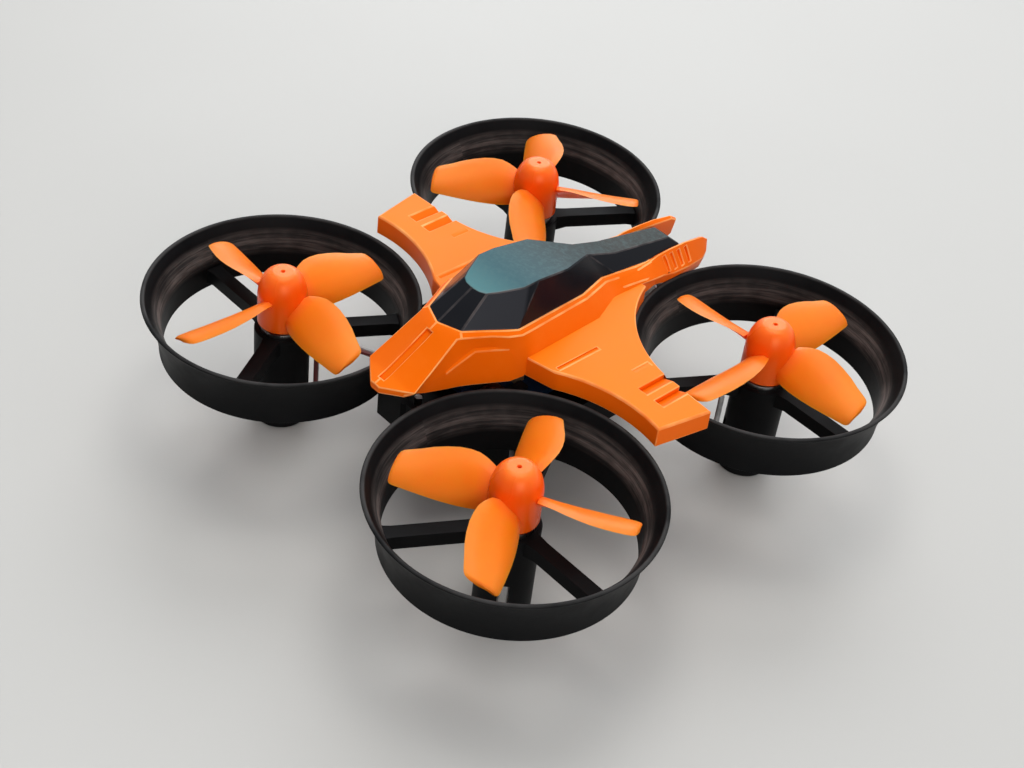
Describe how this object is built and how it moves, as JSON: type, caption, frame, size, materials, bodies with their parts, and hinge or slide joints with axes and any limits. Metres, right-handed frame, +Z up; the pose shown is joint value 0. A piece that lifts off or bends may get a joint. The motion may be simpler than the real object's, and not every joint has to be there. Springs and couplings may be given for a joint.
{
  "type": "ducted micro quadcopter",
  "caption": "Palm-sized ducted quadcopter with an orange moulded canopy, black cockpit cover, black ring ducts on cylindrical motor pods, and a slide-out battery.",
  "frame": {"origin": "middle of the footprint on the plane of the four pod feet", "axes": "+Z up, -Y towards the nose, +X towards the left-hand side"},
  "size_m": [0.083, 0.083, 0.0317],
  "materials": {
    "canopy_orange": "satin moulded",
    "cover_black": "satin and gloss facets",
    "frame_black": "fine moulded texture, scuffed",
    "propeller_orange": "slightly translucent",
    "steel": "drawn",
    "coil_copper": "lacquered winding",
    "magnet_nickel": "nickel plated",
    "end_cap_cream": "moulded",
    "bush_brass": "turned",
    "motor_wire": "smooth insulation",
    "circuit_board": "solder mask",
    "chip_black": "moulded",
    "ceramic_tan": "fired",
    "light_white": "clear",
    "connector_white": "moulded",
    "battery_foil": "wrapped foil",
    "battery_wire": "silicone insulation"
  },
  "bodies": {
    "frame": {"canopy_shell": "canopy_orange", "cockpit_cover": "cover_black", "chassis_tray": "frame_black", "front_left_duct": "frame_black", "front_right_duct": "frame_black", "rear_left_duct": "frame_black", "rear_right_duct": "frame_black", "front_left_motor_can": "steel", "front_right_motor_can": "steel", "rear_left_motor_can": "steel", "rear_right_motor_can": "steel", "front_left_magnet": "magnet_nickel", "front_right_magnet": "magnet_nickel", "rear_left_magnet": "magnet_nickel", "rear_right_magnet": "magnet_nickel", "front_left_end_cap": "end_cap_cream", "front_right_end_cap": "end_cap_cream", "rear_left_end_cap": "end_cap_cream", "rear_right_end_cap": "end_cap_cream", "front_left_bush": "bush_brass", "front_right_bush": "bush_brass", "rear_left_bush": "bush_brass", "rear_right_bush": "bush_brass", "front_left_leads": "motor_wire", "front_right_leads": "motor_wire", "rear_left_leads": "motor_wire", "rear_right_leads": "motor_wire", "flight_board": "circuit_board", "controller_chip": "chip_black", "radio_chip": "chip_black", "gyro_chip": "chip_black", "motor_transistors": "chip_black", "board_capacitors": "ceramic_tan", "crystal": "steel", "status_lights": "light_white", "battery_socket": "connector_white", "board_screws": "steel", "canopy_screws": "steel"},
    "front_left_rotor": {"front_left_propeller": "propeller_orange", "front_left_shaft": "steel", "front_left_rotor_coil": "coil_copper"},
    "front_right_rotor": {"front_right_propeller": "propeller_orange", "front_right_shaft": "steel", "front_right_rotor_coil": "coil_copper"},
    "rear_left_rotor": {"rear_left_propeller": "propeller_orange", "rear_left_shaft": "steel", "rear_left_rotor_coil": "coil_copper"},
    "rear_right_rotor": {"rear_right_propeller": "propeller_orange", "rear_right_shaft": "steel", "rear_right_rotor_coil": "coil_copper"},
    "battery": {"battery_cell": "battery_foil", "battery_leads": "battery_wire", "battery_plug": "connector_white"}
  },
  "joints": [
    {"name": "front_left_spin", "type": "hinge", "parent": "frame", "child": "front_left_rotor", "pos_m": [0.023, -0.023, 0], "axis": [0, 0, 1], "continuous": true},
    {"name": "front_right_spin", "type": "hinge", "parent": "frame", "child": "front_right_rotor", "pos_m": [-0.023, -0.023, 0], "axis": [0, 0, 1], "continuous": true},
    {"name": "rear_left_spin", "type": "hinge", "parent": "frame", "child": "rear_left_rotor", "pos_m": [0.023, 0.023, 0], "axis": [0, 0, 1], "continuous": true},
    {"name": "rear_right_spin", "type": "hinge", "parent": "frame", "child": "rear_right_rotor", "pos_m": [-0.023, 0.023, 0], "axis": [0, 0, 1], "continuous": true},
    {"name": "battery_slide", "type": "slide", "parent": "frame", "child": "battery", "axis": [0, 1, 0], "range_m": [0, 0.034]}
  ]
}
